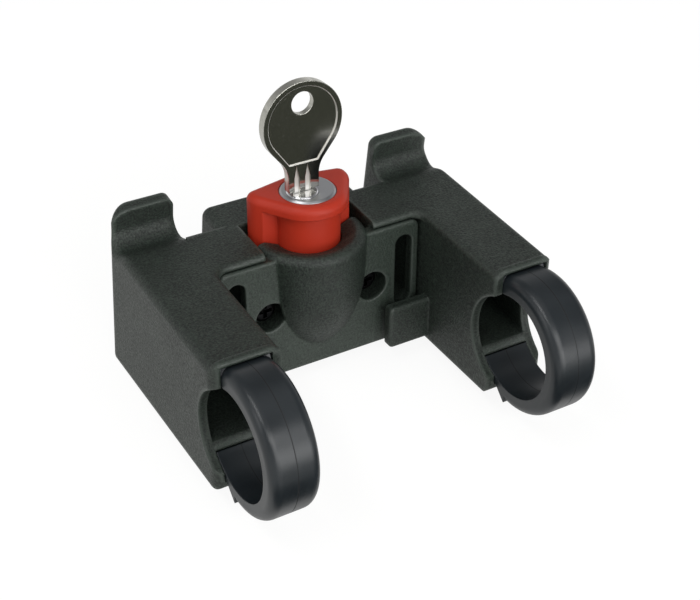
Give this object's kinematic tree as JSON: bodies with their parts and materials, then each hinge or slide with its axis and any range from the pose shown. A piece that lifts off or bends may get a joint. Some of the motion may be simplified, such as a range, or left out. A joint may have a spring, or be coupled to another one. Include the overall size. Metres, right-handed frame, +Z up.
{
  "type": "bicycle handlebar bag mount",
  "caption": "Quick-release handlebar bag mount: black moulded housing with arms and clamp bands for the bar, horns for the bag and a red locking push button with its key.",
  "frame": {"origin": "on the handlebar's axis, midway between the two clamps", "axes": "+X along the handlebar, +Y forward from the rider to the bag, +Z up"},
  "size_m": [0.0812, 0.0754, 0.0694],
  "materials": {
    "housing_nylon": "fine-grained moulded nylon, near black",
    "band_nylon": "smooth satin moulded nylon, blue black",
    "button_plastic": "satin moulded, red",
    "lock_zinc": "satin die-cast face with a bright rim",
    "lock_chrome": "polished chrome",
    "key_nickel": "polished nickel plate",
    "wafer_brass": "stamped brass",
    "spring_steel": "drawn spring wire",
    "zinc_steel": "bright zinc plate"
  },
  "bodies": {
    "housing": {"main_housing": "housing_nylon", "rear_cover": "housing_nylon", "cover_screws": "zinc_steel", "button_springs": "spring_steel", "clamp_band_left": "band_nylon", "clamp_band_right": "band_nylon", "clamp_screw_left": "zinc_steel", "clamp_screw_right": "zinc_steel", "clamp_nut_left": "zinc_steel", "clamp_nut_right": "zinc_steel", "clamp_washer_left": "zinc_steel", "clamp_washer_right": "zinc_steel"},
    "button": {"release_button": "button_plastic", "lock_barrel": "lock_zinc", "lock_clip": "spring_steel"},
    "key_plug": {"lock_plug": "lock_chrome", "lock_wafers": "wafer_brass", "lock_cam": "zinc_steel", "cam_screw": "zinc_steel", "key": "key_nickel"}
  },
  "joints": [
    {"name": "button_press", "type": "slide", "parent": "housing", "child": "button", "axis": [0, -0.1564, -0.9877], "range_m": [0, 0.005], "stiffness_N_per_m": 1200, "springref_m": -0.004, "deforming": ["button_springs"]},
    {"name": "key_turn", "type": "hinge", "parent": "button", "child": "key_plug", "pos_m": [-0.0017, 0.04281, 0.02079], "axis": [0, 0.1564, 0.9877], "range_deg": [0, 90]}
  ]
}
